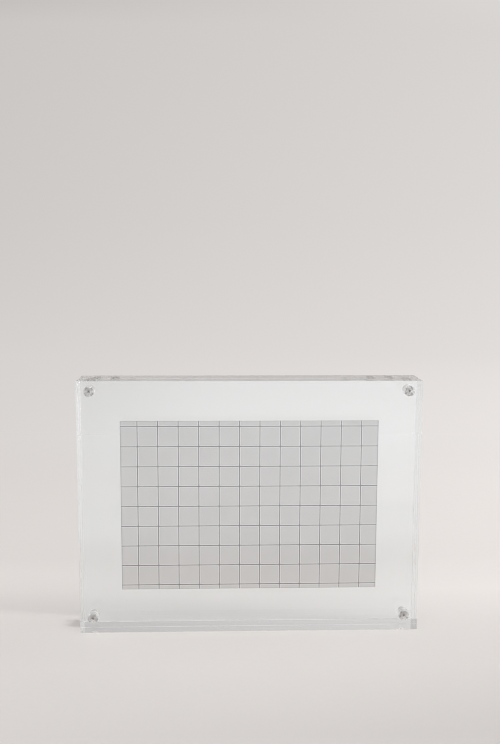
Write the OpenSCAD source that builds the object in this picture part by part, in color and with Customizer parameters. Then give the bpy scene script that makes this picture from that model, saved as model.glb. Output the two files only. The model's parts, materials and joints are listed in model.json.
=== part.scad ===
// Magnetic block photo frame: two clear acrylic blocks that clamp a photo card between them.
// Each block holds four magnet pockets, drilled from its mating face, with a magnet glued into each.
// The frame stands on z = 0, is centred on x = 0, and y = 0 is the parting plane. The front faces -y.

/* [Blocks] */
// Width of each block, side to side
block_w = 200; // [180:1:260]
// Height of each block
block_h = 150; // [130:1:200]
// Thickness of the sheet that each block is cut from
block_t = 12.7; // [10:0.1:20]
// Width of the polished bevel that eases every edge of a block
edge_ease = 0.1; // [0.05:0.05:1]

/* [Photo card] */
// Width of the card, side to side
card_w = 152; // [120:0.5:160]
// Height of the card
card_h = 102; // [80:0.5:110]
// Thickness of the card
card_t = 0.26; // [0.2:0.02:0.5]
// How far the card sits below the middle of the blocks
card_drop = 0.6; // [0:0.1:3]
// Running gap between the card and each block
card_gap = 0.02; // [0.01:0.01:0.05]

/* [Magnets] */
// Diameter of a magnet
magnet_d = 5; // [3:0.25:7]
// Length of a magnet
magnet_l = 5; // [3:0.25:6]
// Width of the bevel round both ends of a magnet
magnet_ease = 0.25; // [0.1:0.05:0.5]
// Distance from a magnet's axis to the side of the block and to its top or bottom
magnet_inset = 6.75; // [6:0.25:12]
// How far a magnet's outer end lies below the mating face
magnet_recess = 0.05; // [0.02:0.01:0.2]

/* [Magnet pockets] */
// Radial gap round a magnet, for the adhesive
pocket_gap = 0.5; // [0.2:0.05:0.8]
// Straight depth left behind a magnet before the drill point starts
pocket_spare = 0.1; // [0.05:0.05:0.5]
// Included angle of the drill point at the pocket's end, in degrees
drill_angle = 118; // [100:1:135]
// Width of the deburred bevel round a pocket's mouth
mouth_ease = 0.15; // [0.05:0.05:0.4]

/* [Adhesive] */
// Skin gap between the cured adhesive and the surfaces that it holds
glue_skin = 0.02; // [0.01:0.01:0.04]
// How far the adhesive stops short of the mating face
glue_setback = 0.9; // [0.5:0.1:1.5]
// Depth of the hollow meniscus on the adhesive's open end
glue_meniscus = 0.3; // [0.1:0.05:0.4]

/* [Hidden] */
$fn = 96;

// Signs that pick a corner, and the block in front of or behind the card
LEFT = -1;
RIGHT = 1;
BOTTOM = -1;
TOP = 1;
FRONT = -1;
BACK = 1;

// Parting: each block's mating face lies this far from y = 0
part_half = card_t / 2 + card_gap;
// How far a cut runs past the face that it opens
overrun = 0.5;

// Pockets and what they hold, along the drilling axis from the mating face
magnet_r = magnet_d / 2;
pocket_r = magnet_r + pocket_gap;
magnet_end = magnet_recess + magnet_l;
pocket_depth = magnet_end + pocket_spare;
pocket_tip = pocket_depth + pocket_r / tan(drill_angle / 2);
glue_in_r = magnet_r + glue_skin;
glue_out_r = pocket_r - glue_skin;

// A rectangle with its corner at the origin and all four corners cut at 45 degrees
module eased_rect(w, h, ease) {
    polygon([
        [ease, 0], [w - ease, 0], [w, ease], [w, h - ease],
        [w - ease, h], [ease, h], [0, h - ease], [0, ease]
    ]);
}

// A block with every edge eased, standing on z = 0, its two faces at y = 0 and y = block_t
module eased_block() {
    translate([-block_w / 2, 0, 0])
        intersection() {
            translate([0, block_t, 0])
                rotate([90, 0, 0])
                    linear_extrude(block_t)
                        eased_rect(block_w, block_h, edge_ease);
            linear_extrude(block_h)
                eased_rect(block_w, block_t, edge_ease);
            rotate([90, 0, 90])
                linear_extrude(block_w)
                    eased_rect(block_t, block_h, edge_ease);
        }
}

// Places a piece that is drawn along +z, from the mating face inwards, in the pocket at one corner
module in_pocket(side, x_side, z_side) {
    translate([
        x_side * (block_w / 2 - magnet_inset),
        side * part_half,
        block_h / 2 + z_side * (block_h / 2 - magnet_inset)
    ])
        rotate([-90 * side, 0, 0])
            children();
}

// The space that the drill leaves: deburred mouth, straight wall and conical point
module drilled_pocket() {
    rotate_extrude()
        polygon([
            [0, -overrun],
            [pocket_r + mouth_ease + overrun, -overrun],
            [pocket_r, mouth_ease],
            [pocket_r, pocket_depth],
            [0, pocket_tip]
        ]);
}

// One acrylic block on its own side of the parting plane, with its four pockets
module block(side) {
    difference() {
        translate([0, side == FRONT ? -part_half - block_t : part_half, 0])
            eased_block();
        for (x_side = [LEFT, RIGHT], z_side = [BOTTOM, TOP])
            in_pocket(side, x_side, z_side)
                drilled_pocket();
    }
}

module front_block() {
    color("aliceblue", 0.35)
        block(FRONT);
}

module back_block() {
    color("aliceblue", 0.35)
        block(BACK);
}

// The printed card that the blocks clamp
module photo_card() {
    color("gainsboro")
        translate([-card_w / 2, -card_t / 2, (block_h - card_h) / 2 - card_drop])
            cube([card_w, card_t, card_h]);
}

// A plated disc magnet with bevelled ends
module magnet(side, x_side, z_side) {
    color("silver")
        in_pocket(side, x_side, z_side)
            translate([0, 0, magnet_recess])
                rotate_extrude()
                    polygon([
                        [0, 0], [magnet_r - magnet_ease, 0], [magnet_r, magnet_ease],
                        [magnet_r, magnet_l - magnet_ease], [magnet_r - magnet_ease, magnet_l],
                        [0, magnet_l]
                    ]);
}

// The sleeve of clear adhesive between a magnet and its pocket, dished at its open end
module adhesive(side, x_side, z_side) {
    color("ivory", 0.5)
        in_pocket(side, x_side, z_side)
            rotate_extrude()
                polygon([
                    [glue_in_r, glue_setback],
                    [(glue_in_r + glue_out_r) / 2, glue_setback + glue_meniscus],
                    [glue_out_r, glue_setback],
                    [glue_out_r, magnet_end],
                    [glue_in_r, magnet_end]
                ]);
}

front_block();
back_block();
photo_card();
magnet(FRONT, LEFT, TOP);  // front_magnet_top_left
magnet(FRONT, RIGHT, TOP);  // front_magnet_top_right
magnet(FRONT, LEFT, BOTTOM);  // front_magnet_bottom_left
magnet(FRONT, RIGHT, BOTTOM);  // front_magnet_bottom_right
magnet(BACK, LEFT, TOP);  // back_magnet_top_left
magnet(BACK, RIGHT, TOP);  // back_magnet_top_right
magnet(BACK, LEFT, BOTTOM);  // back_magnet_bottom_left
magnet(BACK, RIGHT, BOTTOM);  // back_magnet_bottom_right
adhesive(FRONT, LEFT, TOP);  // front_adhesive_top_left
adhesive(FRONT, RIGHT, TOP);  // front_adhesive_top_right
adhesive(FRONT, LEFT, BOTTOM);  // front_adhesive_bottom_left
adhesive(FRONT, RIGHT, BOTTOM);  // front_adhesive_bottom_right
adhesive(BACK, LEFT, TOP);  // back_adhesive_top_left
adhesive(BACK, RIGHT, TOP);  // back_adhesive_top_right
adhesive(BACK, LEFT, BOTTOM);  // back_adhesive_bottom_left
adhesive(BACK, RIGHT, BOTTOM);  // back_adhesive_bottom_right
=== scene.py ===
"""A clear acrylic block frame on a pale studio sweep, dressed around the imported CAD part."""

import json
import math

import bpy
from mathutils import Matrix, Vector


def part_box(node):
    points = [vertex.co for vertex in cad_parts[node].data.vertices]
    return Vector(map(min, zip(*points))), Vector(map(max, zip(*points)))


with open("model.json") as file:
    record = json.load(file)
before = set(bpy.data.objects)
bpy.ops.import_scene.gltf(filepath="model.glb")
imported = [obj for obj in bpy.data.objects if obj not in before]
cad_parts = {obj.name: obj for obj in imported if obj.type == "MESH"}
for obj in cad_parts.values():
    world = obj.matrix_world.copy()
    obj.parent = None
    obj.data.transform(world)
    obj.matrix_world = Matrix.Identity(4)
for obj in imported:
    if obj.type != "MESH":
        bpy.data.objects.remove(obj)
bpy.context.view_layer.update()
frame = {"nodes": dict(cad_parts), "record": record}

MM = 0.001
NODES = frame["nodes"]
CARD_LOW, CARD_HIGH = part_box("photo_card")
FRONT_LOW, FRONT_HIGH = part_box("front_block")

# Camera, solved from the frame's corners in the 500 x 744 photograph, with its angles in radians
PICTURE_HEIGHT_PX = 744
FOCAL_PX = 908.5
SENSOR_MM = 36.0
CAMERA_FROM_FRONT_FACE = (-18.41 * MM, -516.36 * MM, 220.81 * MM)
CAMERA_YAW = -0.0351
CAMERA_PITCH = -0.1261
CAMERA_ROLL = -0.0033
CAMERA_CLIP_START = 10.0 * MM


def camera():
    """The photograph's camera: placed from the front face, turned by yaw, pitch and roll."""
    data = bpy.data.cameras.new("camera")
    data.lens = FOCAL_PX / PICTURE_HEIGHT_PX * SENSOR_MM
    data.sensor_width = SENSOR_MM
    data.clip_start = CAMERA_CLIP_START
    obj = bpy.data.objects.new("camera", data)
    bpy.context.scene.collection.objects.link(obj)
    x, y, z = CAMERA_FROM_FRONT_FACE
    turn = (
        Matrix.Rotation(CAMERA_YAW, 4, "Z")
        @ Matrix.Rotation(CAMERA_PITCH, 4, "X")
        @ Matrix.Rotation(CAMERA_ROLL, 4, "Y")
        @ Matrix.Rotation(math.pi / 2, 4, "X")
    )
    obj.matrix_world = Matrix.Translation((x, FRONT_LOW.y + y, z)) @ turn
    bpy.context.scene.camera = obj


class Tree:
    """A new node material, with short calls for the nodes it needs."""

    def __init__(self, name):
        self.material = bpy.data.materials.new(name)
        self.material.use_nodes = True
        self.nodes = self.material.node_tree.nodes
        self.links = self.material.node_tree.links
        self.nodes.clear()
        self.out = self.nodes.new("ShaderNodeOutputMaterial")
        self.coordinates = self.nodes.new("ShaderNodeTexCoord")

    def set(self, socket, value):
        """Links another node's output to this input, or gives it a constant."""
        if isinstance(value, bpy.types.NodeSocket):
            self.links.new(value, socket)
        else:
            socket.default_value = value

    def node(self, kind, inputs=(), **settings):
        """A new node with these settings, and these constants or outputs on its inputs."""
        made = self.nodes.new(kind)
        for setting, value in settings.items():
            setattr(made, setting, value)
        for socket, value in dict(inputs).items():
            self.set(made.inputs[socket], value)
        return made

    def math(self, operation, first, second=0.0):
        """The result of one operation on one or two values."""
        made = self.node("ShaderNodeMath", {0: first, 1: second}, operation=operation)
        return made.outputs[0]

    def xyz(self):
        """The place of the shaded point, in metres of the scene."""
        split = self.node("ShaderNodeSeparateXYZ", {0: self.coordinates.outputs["Object"]})
        return split.outputs["X"], split.outputs["Y"], split.outputs["Z"]

    def ramp(self, value, low, high, start=0.0, end=1.0, smooth=True):
        """Runs from start to end while the value runs from low to high, and stays there beyond."""
        made = self.node(
            "ShaderNodeMapRange",
            {"Value": value, "From Min": low, "From Max": high, "To Min": start, "To Max": end},
            interpolation_type="SMOOTHSTEP" if smooth else "LINEAR",
        )
        return made.outputs["Result"]

    def mix(self, factor, first, second, data_type="RGBA"):
        """The first value where the factor is 0, the second where it is 1."""
        inputs = {"Factor": factor, "A": first, "B": second}
        return self.node("ShaderNodeMix", inputs, data_type=data_type).outputs["Result"]

    def scaled(self, colour, factor):
        """A colour times a factor."""
        made = self.node("ShaderNodeVectorMath", {0: colour, "Scale": factor}, operation="SCALE")
        return made.outputs[0]

    def noise(self, scale, detail, roughness=0.5):
        """Fractal noise between 0 and 1."""
        made = self.node(
            "ShaderNodeTexNoise",
            {
                "Vector": self.coordinates.outputs["Object"],
                "Scale": scale,
                "Detail": detail,
                "Roughness": roughness,
            },
        )
        return made.outputs["Fac"]

    def bump(self, height, strength, distance):
        """A normal that leans as a surface with these heights would."""
        inputs = {"Height": height, "Strength": strength, "Distance": distance}
        return self.node("ShaderNodeBump", inputs).outputs["Normal"]

    def principled(self, inputs):
        """A principled shader with these inputs."""
        return self.node("ShaderNodeBsdfPrincipled", inputs)

    def mix_shader(self, factor, first, second):
        """The first shader where the factor is 0, the second where it is 1."""
        inputs = {0: factor, 1: first.outputs[0], 2: second.outputs[0]}
        return self.node("ShaderNodeMixShader", inputs)

    def surface(self, shader):
        """Puts the shader on the material's output, and returns the material."""
        self.links.new(shader.outputs[0], self.out.inputs["Surface"])
        return self.material


# Materials
# A NOISE is its scale per metre, its detail and, where that isn't 0.5, its roughness. A SPAN is the
# stretch of a noise's values that a ramp runs over. A BUMP is its strength and its distance.

# Acrylic: faint specks and slow waves outside, and the drill's fine rings in the pockets
ACRYLIC_IOR = 1.49
ACRYLIC_COLOUR = (0.979, 0.993, 1.0, 1.0)
ACRYLIC_BUMP = (0.01, 0.6 * MM)
SPECK_NOISE = (1400.0, 3.0)
SPECK_SPAN = (0.60, 0.85)
SPECK_ROUGHNESS = 0.02
WAVE_NOISE = (28.0, 1.0)
RING_PITCH = 0.25 * MM
RING_HEIGHT = 0.004
# The magnets' axes stand at this x and this far from the middle height, to either side
MAGNET_LOW, MAGNET_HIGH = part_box("front_magnet_top_right")
MIDDLE_Z = (FRONT_LOW.z + FRONT_HIGH.z) / 2
MAGNET_X = (MAGNET_LOW.x + MAGNET_HIGH.x) / 2
MAGNET_RISE = (MAGNET_LOW.z + MAGNET_HIGH.z) / 2 - MIDDLE_Z
# A pocket's surface lies within POCKET_REACH of its axis. Its wall is taken to end where the magnet
# does, and its drill point ends within POINT_REACH of that
POCKET_REACH = 3.3 * MM
MAGNET_END = -MAGNET_LOW.y
POINT_REACH = 2.0 * MM
WALL_ROUGHNESS = 0.20
POINT_ROUGHNESS = 0.35


def magnet_radius(tree):
    """Distance from the axis of the nearest magnet."""
    x, _, z = tree.xyz()
    across = tree.math("SUBTRACT", tree.math("ABSOLUTE", x), MAGNET_X)
    from_middle = tree.math("ABSOLUTE", tree.math("SUBTRACT", z, MIDDLE_Z))
    rise = tree.math("SUBTRACT", from_middle, MAGNET_RISE)
    squares = tree.math("ADD", tree.math("POWER", across, 2.0), tree.math("POWER", rise, 2.0))
    return tree.math("SQRT", squares)


def acrylic():
    """Clear cast acrylic: polished outside, with the drill's satin finish in the magnet pockets."""
    tree = Tree("acrylic")
    radius = magnet_radius(tree)
    _, y, _ = tree.xyz()
    depth = tree.math("ABSOLUTE", y)
    near_axis = tree.math("LESS_THAN", radius, POCKET_REACH)
    wall = tree.math("MULTIPLY", near_axis, tree.math("LESS_THAN", depth, MAGNET_END))
    before_tip = tree.math("LESS_THAN", depth, MAGNET_END + POINT_REACH)
    pocket = tree.math("MULTIPLY", near_axis, before_tip)
    turns = tree.math("MULTIPLY", tree.math("ADD", radius, depth), 2 * math.pi / RING_PITCH)
    rings = tree.math("MULTIPLY", tree.math("SINE", turns), pocket)
    outside = tree.ramp(tree.noise(*SPECK_NOISE), *SPECK_SPAN, 0.0, SPECK_ROUGHNESS)
    on_wall = tree.math("MULTIPLY", wall, WALL_ROUGHNESS - POINT_ROUGHNESS)
    inside = tree.math("ADD", on_wall, POINT_ROUGHNESS)
    waves = tree.noise(*WAVE_NOISE)
    height = tree.math("ADD", waves, tree.math("MULTIPLY", rings, RING_HEIGHT))
    shader = tree.principled(
        {
            "Base Color": ACRYLIC_COLOUR,
            "Transmission Weight": 1.0,
            "IOR": ACRYLIC_IOR,
            "Roughness": tree.mix(pocket, outside, inside, "FLOAT"),
            "Normal": tree.bump(height, *ACRYLIC_BUMP),
        }
    )
    return tree.surface(shader)


# Card
CARD_CENTRE = (CARD_LOW + CARD_HIGH) / 2
CARD_GREY = (0.698, 0.666, 0.652, 1.0)
CARD_WHITE = (0.8, 0.8, 0.79, 1.0)
CARD_ROUGHNESS = (0.5, 0.7)
CARD_BUMP = (0.15, 0.05 * MM)
FIBRE_NOISE = (900.0, 4.0, 0.6)
MOTTLE_NOISE = (60.0, 2.0)
MOTTLE_SPAN = (0.35, 0.65)
MOTTLE_TONE = 0.98
# A face whose normal has a lower y than this is the card's front
FRONT_NORMAL = -0.5
# Grid: thin soft lines, with a little less ink in the hollows of the fibres and a light margin on
# both sides
GRID_PITCH = 12.0 * MM
GRID_DROP = 0.3 * MM
LINE_GREY = (0.19, 0.18, 0.175, 1.0)
LINE_HALF = 0.245 * MM
LINE_SOFT = 0.06 * MM
INK_SPAN = (0.2, 0.8)
INK_LEAST = 0.85
HALO_HALF = 0.75 * MM
HALO_SOFT = 0.15 * MM
HALO_GAIN = 1.16
# The card is darker along its edges, down to these tones at the edge itself
SIDE_RIM_WIDTH = 0.90 * MM
SIDE_RIM_TONE = 0.66
END_RIM_WIDTH = 0.50 * MM
END_RIM_TONE = 0.70
# Painted shade: the card also grows darker from a little below its middle to its top
PAINTED_SHADE_START = -10.0 * MM
PAINTED_SHADE_LOW = 1.01
PAINTED_SHADE_TOP = 0.945


def off_line(tree, value, phase):
    """Distance to the nearest grid line, along x or z."""
    turn = tree.math("FLOORED_MODULO", tree.math("ADD", value, phase), GRID_PITCH)
    return tree.math("ABSOLUTE", tree.math("SUBTRACT", turn, GRID_PITCH / 2))


def card_tone_and_painted_shade(tree, across, rise, off):
    """Factor on the printed grey, for the light margins, the dark rim, a mottle and the painted shade
    towards the top.
    """
    halo = tree.ramp(off, HALO_HALF - HALO_SOFT, HALO_HALF + HALO_SOFT, HALO_GAIN, 1.0)
    half_size = (CARD_HIGH - CARD_LOW) / 2
    to_side = tree.math("SUBTRACT", half_size.x, tree.math("ABSOLUTE", across))
    to_end = tree.math("SUBTRACT", half_size.z, tree.math("ABSOLUTE", rise))
    side_rim = tree.ramp(to_side, 0.0, SIDE_RIM_WIDTH, SIDE_RIM_TONE, 1.0)
    end_rim = tree.ramp(to_end, 0.0, END_RIM_WIDTH, END_RIM_TONE, 1.0)
    rim = tree.math("MINIMUM", side_rim, end_rim)
    mottle = tree.ramp(tree.noise(*MOTTLE_NOISE), *MOTTLE_SPAN, 1.0, MOTTLE_TONE)
    # Painted shade: darker towards the card's top
    painted_shade = tree.ramp(rise, PAINTED_SHADE_START, half_size.z, PAINTED_SHADE_LOW, PAINTED_SHADE_TOP, smooth=False)
    return tree.math("MULTIPLY", tree.math("MULTIPLY", halo, rim), tree.math("MULTIPLY", mottle, painted_shade))


def card():
    """Pale grey card with a fine square grid printed on its front, plain white behind."""
    tree = Tree("card")
    x, _, z = tree.xyz()
    across = tree.math("SUBTRACT", x, CARD_CENTRE.x)
    rise = tree.math("SUBTRACT", z, CARD_CENTRE.z)
    off_upright = off_line(tree, across, 0.0)
    off_level = off_line(tree, rise, GRID_PITCH / 2 + GRID_DROP)
    off = tree.math("MINIMUM", off_upright, off_level)
    fibre = tree.noise(*FIBRE_NOISE)
    ink = tree.ramp(off, LINE_HALF - LINE_SOFT, LINE_HALF + LINE_SOFT, 1.0, 0.0)
    inked = tree.math("MULTIPLY", ink, tree.ramp(fibre, *INK_SPAN, INK_LEAST, 1.0))
    paper = tree.scaled(CARD_GREY[:3], card_tone_and_painted_shade(tree, across, rise, off))
    printed = tree.mix(inked, paper, LINE_GREY)
    geometry = tree.node("ShaderNodeNewGeometry")
    normal = tree.node("ShaderNodeSeparateXYZ", {0: geometry.outputs["True Normal"]})
    front = tree.math("LESS_THAN", normal.outputs["Y"], FRONT_NORMAL)
    shader = tree.principled(
        {
            "Base Color": tree.mix(front, CARD_WHITE, printed),
            "Roughness": tree.ramp(fibre, 0.0, 1.0, *CARD_ROUGHNESS),
            "Normal": tree.bump(fibre, *CARD_BUMP),
        }
    )
    return tree.surface(shader)


# Magnets
NICKEL_DARK = (0.58, 0.55, 0.53, 1.0)
NICKEL_LIGHT = (0.68, 0.65, 0.63, 1.0)
NICKEL_ROUGHNESS = (0.30, 0.40)
NICKEL_BUMP = (0.1, 0.02 * MM)
CLOUD_NOISE = (700.0, 3.0)
CLOUD_SPAN = (0.3, 0.7)
SCRATCH_NOISE = (2500.0, 2.0)
# Painted shade: a dark spot in the middle of each end, for the dark apex of the drill point in front of
# it; full within the first radius, gone at the second
APEX_SHADE_IN = 0.75 * MM
APEX_SHADE_OUT = 1.15 * MM
APEX_SHADE_GREY = (0.15, 0.14, 0.13, 1.0)


def magnet():
    """Nickel plate, a little cloudy and scratched, with painted shade as a dark spot in the middle of
    each end.
    """
    tree = Tree("nickel")
    cloud = tree.noise(*CLOUD_NOISE)
    plate = tree.mix(tree.ramp(cloud, *CLOUD_SPAN), NICKEL_DARK, NICKEL_LIGHT)
    # Painted shade: the dark spot in the middle of each end
    apex_shade = tree.ramp(magnet_radius(tree), APEX_SHADE_IN, APEX_SHADE_OUT, 1.0, 0.0)
    shader = tree.principled(
        {
            "Base Color": tree.mix(apex_shade, plate, APEX_SHADE_GREY),
            "Metallic": 1.0,
            "Roughness": tree.ramp(cloud, *CLOUD_SPAN, *NICKEL_ROUGHNESS),
            "Normal": tree.bump(tree.noise(*SCRATCH_NOISE), *NICKEL_BUMP),
        }
    )
    return tree.surface(shader)


# Adhesive, taken as an acrylic one
ADHESIVE_IOR = ACRYLIC_IOR
ADHESIVE_COLOUR = (0.99, 0.97, 0.96, 1.0)
ADHESIVE_ROUGHNESS = (0.05, 0.15)
ADHESIVE_BUMP = (0.05, 0.2 * MM)
BUBBLE_NOISE = (1500.0, 2.0)
BUBBLE_SPAN = (0.4, 0.8)


def adhesive():
    """Clear cured adhesive, a little uneven and satin where it has fine bubbles."""
    tree = Tree("cured_adhesive")
    bubbles = tree.noise(*BUBBLE_NOISE)
    shader = tree.principled(
        {
            "Base Color": ADHESIVE_COLOUR,
            "Transmission Weight": 1.0,
            "IOR": ADHESIVE_IOR,
            "Roughness": tree.ramp(bubbles, *BUBBLE_SPAN, *ADHESIVE_ROUGHNESS),
            "Normal": tree.bump(bubbles, *ADHESIVE_BUMP),
        }
    )
    return tree.surface(shader)


MATERIALS = {"acrylic": acrylic(), "card": card(), "magnet": magnet(), "adhesive": adhesive()}


def dress():
    """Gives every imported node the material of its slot."""
    for part in frame["record"]["subparts"]:
        obj = NODES[part["node"]]
        obj.data.materials.clear()
        obj.data.materials.append(MATERIALS[part["material_slot"]])


# Stage: a floor that sweeps up into the wall behind the frame, and a white card that lies in front
FLOOR_DROP = 0.05 * MM
FLOOR_HALF_WIDTH = 5.0
FLOOR_FRONT = -3.0
SWEEP_START = 1.5
SWEEP_RADIUS = 1.5
SWEEP_STEPS = 48
WALL_TOP = 5.0
STAGE_TINT = (1.0, 0.955, 0.928, 1.0)
PAPER_ROUGHNESS = (0.8, 0.9)
PAPER_SPECULAR = 0.2
PAPER_BUMP = (0.1, 0.1 * MM)
GRAIN_NOISE = (300.0, 3.0)
GRAIN_TONES = (0.985, 1.015)
# From the first y to the second, the floor in front passes into a plain tone where it is seen
# straight
FRONT_FROM = -0.15
FRONT_TO = -0.27
FRONT_TONE = 0.70
# Painted light: these tones and slopes give the sweep the fall of the light, darker towards the top of
# the wall and mostly brighter to the right
# The sweep's tone at x = 0, by y + z: along the floor, then up the wall
TONES = (
    (FRONT_TO, FRONT_TONE), (-0.13, 0.671), (-0.06, 0.726), (0.0, 0.729), (0.10, 0.766),
    (0.50, 0.755), (1.50, 0.714), (2.80, 0.662), (4.00, 0.636), (4.20, 0.600), (5.00, 0.500),
)
# The share that the tone grows by per metre to the right, by y + z
SLOPES = (
    (FRONT_TO, 0.0), (-0.13, -0.218), (-0.05, 0.145), (0.05, 0.392), (0.30, 0.286),
    (1.50, 0.100), (4.00, 0.076), (4.20, 0.180),
)
# How brightly the lights meet the floor at x = 0, by y, and how much that grows per metre to the
# right, out to LEVEL_REACH on both sides
LEVELS = ((-0.14, 1.055), (-0.08, 1.040), (-0.03, 1.025), (0.055, 0.928), (0.12, 0.990), (0.35, 0.953))
LEVEL_SLOPES = ((-0.14, 0.463), (-0.03, 0.369), (0.08, 0.440), (0.35, 0.252))
LEVEL_REACH = 0.6
# Where, by y + z, the lit floor passes into a backdrop of the same tones, whatever light it gets
BACKDROP_FROM = 0.25
BACKDROP_TO = 0.60
# From the first y to the second, the floor grows whiter in reflections and in the light it gives
NEAR_FROM = -0.145
NEAR_TO = -0.195
NEAR_COLOUR = (0.88, 0.94, 0.97, 1.0)
# The bounce card's glow rises from nothing at the first x and y to its full strength at the second
BOUNCE_SIZE = (2.4, 1.6)
BOUNCE_EDGE = -0.28
BOUNCE_LIFT = 1.0 * MM
BOUNCE_COLOUR = (0.92, 0.95, 0.97, 1.0)
BOUNCE_ROUGHNESS = (0.85, 0.95)
BOUNCE_NOISE = (40.0, 2.0)
BOUNCE_GLOW = (0.30, 0.32, 0.33, 1.0)
BOUNCE_DIM_X = (-0.25, 0.0)
BOUNCE_DIM_Y = (-0.20, -0.60)
# A count of turns below this is none
ANY_TURN = 0.5
FLAG_GREY = (0.02, 0.02, 0.02, 1.0)
FLAG_ROUGHNESS = 0.9


def staged(name, points, faces, material, smooth=False):
    """A mesh that belongs to the stage and not to the object."""
    mesh = bpy.data.meshes.new(name)
    mesh.from_pydata(points, [], faces)
    mesh.polygons.foreach_set("use_smooth", [smooth] * len(mesh.polygons))
    mesh.materials.append(material)
    obj = bpy.data.objects.new(name, mesh)
    bpy.context.scene.collection.objects.link(obj)
    return obj


def stops(tree, value, points):
    """Straight lines between points, as a chain of clamped map ranges that add up."""
    total = points[0][1]
    for (low, start), (high, end) in zip(points, points[1:]):
        step = tree.ramp(value, low, high, 0.0, end - start, smooth=False)
        total = tree.math("ADD", step, total)
    return total


def seen_straight(tree):
    """1 where the camera looks straight at a surface, also through the blocks, and 0 otherwise."""
    rays = tree.node("ShaderNodeLightPath").outputs
    looks = tree.math("MAXIMUM", rays["Is Camera Ray"], rays["Is Transmission Ray"])
    turns = tree.math("ADD", rays["Glossy Depth"], rays["Diffuse Depth"])
    return tree.math("MULTIPLY", looks, tree.math("LESS_THAN", turns, ANY_TURN))


def sweep_tone(tree, x, along, grain):
    """The tone that the paper has to show."""
    slope = tree.math("MULTIPLY", stops(tree, along, SLOPES), x)
    tone = tree.math("MULTIPLY", stops(tree, along, TONES), tree.math("ADD", slope, 1.0))
    return tree.math("MULTIPLY", tone, tree.ramp(grain, 0.0, 1.0, *GRAIN_TONES, smooth=False))


def floor_gain(tree, x, y):
    """Factor on the lit paper's colour, which makes the floor show its tone under the lights."""
    aside = tree.ramp(x, -LEVEL_REACH, LEVEL_REACH, -LEVEL_REACH, LEVEL_REACH, smooth=False)
    rise = tree.math("MULTIPLY", stops(tree, y, LEVEL_SLOPES), aside)
    return tree.math("DIVIDE", 1.0, tree.math("ADD", stops(tree, y, LEVELS), rise))


def backdrop_share(tree, y, along, straight):
    """Share of the plain backdrop in what a ray sees: far behind the frame, and in front of it."""
    rays = tree.node("ShaderNodeLightPath").outputs
    seen = tree.math("MAXIMUM", rays["Is Camera Ray"], rays["Is Glossy Ray"])
    seen = tree.math("MAXIMUM", seen, rays["Is Transmission Ray"])
    behind = tree.math("MULTIPLY", seen, tree.ramp(along, BACKDROP_FROM, BACKDROP_TO))
    front = tree.math("MULTIPLY", straight, tree.ramp(y, FRONT_TO, FRONT_FROM, 1.0, 0.0))
    return tree.math("MAXIMUM", behind, front)


def sweep_paper():
    """Pale warm paper, whiter in front of the frame for what the blocks reflect."""
    tree = Tree("sweep_paper")
    straight = seen_straight(tree)
    x, y, z = tree.xyz()
    along = tree.math("ADD", y, z)
    grain = tree.noise(*GRAIN_NOISE)
    tinted = tree.scaled(STAGE_TINT[:3], sweep_tone(tree, x, along, grain))
    not_straight = tree.math("SUBTRACT", 1.0, straight)
    near = tree.math("MULTIPLY", tree.ramp(y, NEAR_TO, NEAR_FROM, 1.0, 0.0), not_straight)
    colour = tree.mix(near, tinted, NEAR_COLOUR)
    paper = tree.principled(
        {
            "Base Color": tree.scaled(colour, floor_gain(tree, x, y)),
            "Roughness": tree.ramp(grain, 0.0, 1.0, *PAPER_ROUGHNESS),
            "Specular IOR Level": PAPER_SPECULAR,
            "Normal": tree.bump(grain, *PAPER_BUMP),
        }
    )
    plain = tree.node("ShaderNodeEmission", {"Color": tinted})
    return tree.surface(tree.mix_shader(backdrop_share(tree, y, along, straight), paper, plain))


def bounce_paper():
    """White card that glows. Seen straight, it has the plain tone of the floor in front."""
    tree = Tree("bounce_paper")
    x, y, _ = tree.xyz()
    grain = tree.noise(*BOUNCE_NOISE)
    glow = tree.math(
        "MULTIPLY", tree.ramp(x, *BOUNCE_DIM_X), tree.ramp(y, *BOUNCE_DIM_Y, smooth=False)
    )
    paper = tree.principled(
        {
            "Base Color": BOUNCE_COLOUR,
            "Roughness": tree.ramp(grain, 0.0, 1.0, *BOUNCE_ROUGHNESS),
            "Emission Color": BOUNCE_GLOW,
            "Emission Strength": glow,
        }
    )
    floor = [FRONT_TONE * channel for channel in STAGE_TINT[:3]] + [1.0]
    plain = tree.node("ShaderNodeEmission", {"Color": floor})
    return tree.surface(tree.mix_shader(seen_straight(tree), paper, plain))


def flag_cloth():
    """Black cloth, for the flags."""
    tree = Tree("flag_cloth")
    return tree.surface(tree.principled({"Base Color": FLAG_GREY, "Roughness": FLAG_ROUGHNESS}))


def level_corners(left, right, near, far, z):
    """The corners of a level rectangle."""
    return [(left, near, z), (right, near, z), (right, far, z), (left, far, z)]


def stage():
    """The sweep, as one profile drawn out from left to right, and the bounce card."""
    profile = [(FLOOR_FRONT, 0.0)]
    for i in range(SWEEP_STEPS + 1):
        angle = math.pi / 2 * i / SWEEP_STEPS
        y = SWEEP_START + SWEEP_RADIUS * math.sin(angle)
        profile.append((y, SWEEP_RADIUS * (1 - math.cos(angle))))
    profile.append((SWEEP_START + SWEEP_RADIUS, WALL_TOP))
    points = [
        (x, y, z - FLOOR_DROP) for y, z in profile for x in (-FLOOR_HALF_WIDTH, FLOOR_HALF_WIDTH)
    ]
    faces = [(2 * i, 2 * i + 1, 2 * i + 3, 2 * i + 2) for i in range(len(profile) - 1)]
    staged("sweep", points, faces, sweep_paper(), smooth=True)
    width, depth = BOUNCE_SIZE
    near = BOUNCE_EDGE - depth
    corners = level_corners(-width / 2, width / 2, near, BOUNCE_EDGE, BOUNCE_LIFT)
    staged("bounce_card", corners, [(0, 1, 2, 3)], bounce_paper())


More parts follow.
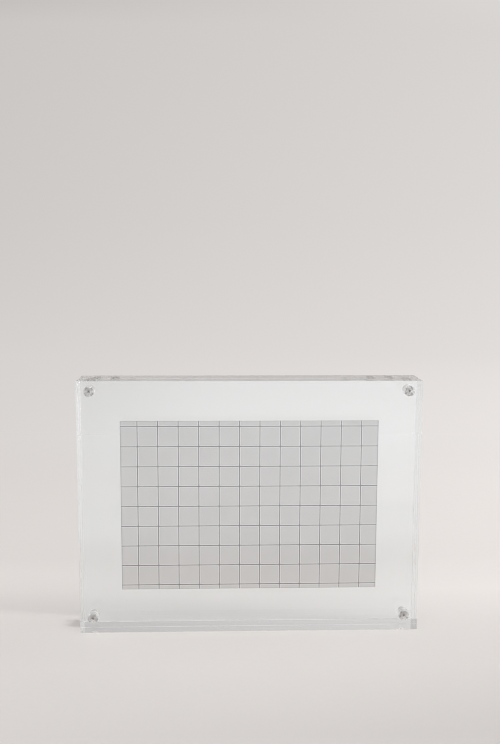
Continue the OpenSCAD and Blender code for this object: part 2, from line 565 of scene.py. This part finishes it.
# Lights
# The narrow key passes through the acrylic's ends, so the magnets stop it and the blocks do not. It
# only grazes the back face, which turns a share of it away: a flag over that face stops this share.
# It can't leave through the bottom faces, so another flag stops all of it under the back half and
# the nearest strip of the front half.
WORLD_COLOUR = (1.0, 0.995, 0.99, 1.0)
WORLD_STRENGTH = 0.66
FILL = {"size": (2.2, 2.0), "place": (1.7, -1.6, 1.1), "target": (0.0, 0.0, 0.07), "radiance": 0.35}
OVERHEAD = {"size": (1.8, 1.4), "place": (0.1, -0.1, 1.5), "target": (0.05, -0.1, 0.0), "radiance": 0.4}
KEY_TARGET = Vector((-0.05, 0.0, 0.0))
KEY_AZIMUTH = math.radians(81.0)
KEY_ELEVATION = math.radians(31.5)
KEY_DISTANCE = 2.0
KEY_SIZE = (0.35, 0.50)
KEY_RADIANCE = 38.0
KEY_PASSED = 0.62
FLAG_GAP = 0.1 * MM
BASE_FLAG_FRONT = -3.0 * MM


def flag(name, corners):
    """A sheet that no ray sees, and that only stops the lights that name it."""
    sheet = staged(name, corners, [(0, 1, 2, 3)], flag_cloth())
    sheet.visible_camera = False
    sheet.visible_diffuse = False
    sheet.visible_glossy = False
    sheet.visible_transmission = False
    sheet.visible_volume_scatter = False
    return sheet


def flags():
    """One flag over the back face, and one between the floor and the blocks that stand on it."""
    low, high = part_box("back_block")
    y = high.y + FLAG_GAP
    corners = [(low.x, y, low.z), (high.x, y, low.z), (high.x, y, high.z), (low.x, y, high.z)]
    back = flag("back_flag", corners)
    z = low.z - FLOOR_DROP / 2
    base = flag("base_flag", level_corners(low.x, high.x, BASE_FLAG_FRONT, high.y, z))
    return back, base


def softbox(name, size, place, target, radiance):
    """A rectangular area light with this radiance, aimed at a point."""
    data = bpy.data.lights.new(name, "AREA")
    data.shape = "RECTANGLE"
    data.size, data.size_y = size
    data.energy = radiance * math.pi * size[0] * size[1]
    obj = bpy.data.objects.new(name, data)
    bpy.context.scene.collection.objects.link(obj)
    obj.location = place
    obj.rotation_euler = (Vector(place) - Vector(target)).to_track_quat("Z", "Y").to_euler()
    return obj


def set_blockers(light, objects, state):
    """INCLUDE: only these objects stop the light. EXCLUDE: all but these do."""
    collection = bpy.data.collections.new(light.name + "_blockers")
    for obj in objects:
        collection.objects.link(obj)
    light.light_linking.blocker_collection = collection
    for entry in collection.collection_objects:
        entry.light_linking.link_state = state


def key(back, base):
    """The key from the right, in two shares that differ in what stops them."""
    flat = math.cos(KEY_ELEVATION)
    aim = Vector((math.sin(KEY_AZIMUTH) * flat, -math.cos(KEY_AZIMUTH) * flat, math.sin(KEY_ELEVATION)))
    place = KEY_TARGET + KEY_DISTANCE * aim
    always = [obj for node, obj in NODES.items() if "magnet" in node] + [base]
    shares = (
        ("key_through", KEY_PASSED, always),
        ("key_flagged", 1 - KEY_PASSED, always + [back]),
    )
    for name, share, blockers in shares:
        light = softbox(name, KEY_SIZE, place, KEY_TARGET, KEY_RADIANCE * share)
        light.visible_glossy = False
        light.visible_transmission = False
        set_blockers(light, blockers, "INCLUDE")


def lights():
    """An even world, a fill, a lamp overhead and the key, each with what stops it."""
    world = bpy.data.worlds.new("studio")
    bpy.context.scene.world = world
    world.use_nodes = True
    background = world.node_tree.nodes["Background"]
    background.inputs["Color"].default_value = WORLD_COLOUR
    background.inputs["Strength"].default_value = WORLD_STRENGTH
    back, base = flags()
    set_blockers(softbox("fill_softbox", **FILL), [back, base], "EXCLUDE")
    set_blockers(softbox("overhead_softbox", **OVERHEAD), [back, base], "EXCLUDE")
    key(back, base)


# Enough bounces for light to cross both blocks, and a crisp picture
BOUNCES = 32
FILTER_WIDTH_PX = 1.0


def render_settings():
    """Plain colours, and sharp, deep reflections and refractions."""
    scene = bpy.context.scene
    scene.view_settings.view_transform = "Standard"
    scene.cycles.max_bounces = BOUNCES
    scene.cycles.glossy_bounces = BOUNCES
    scene.cycles.transmission_bounces = BOUNCES
    scene.cycles.transparent_max_bounces = BOUNCES
    scene.cycles.blur_glossy = 0.0
    scene.cycles.filter_width = FILTER_WIDTH_PX


camera()
dress()
stage()
lights()
render_settings()
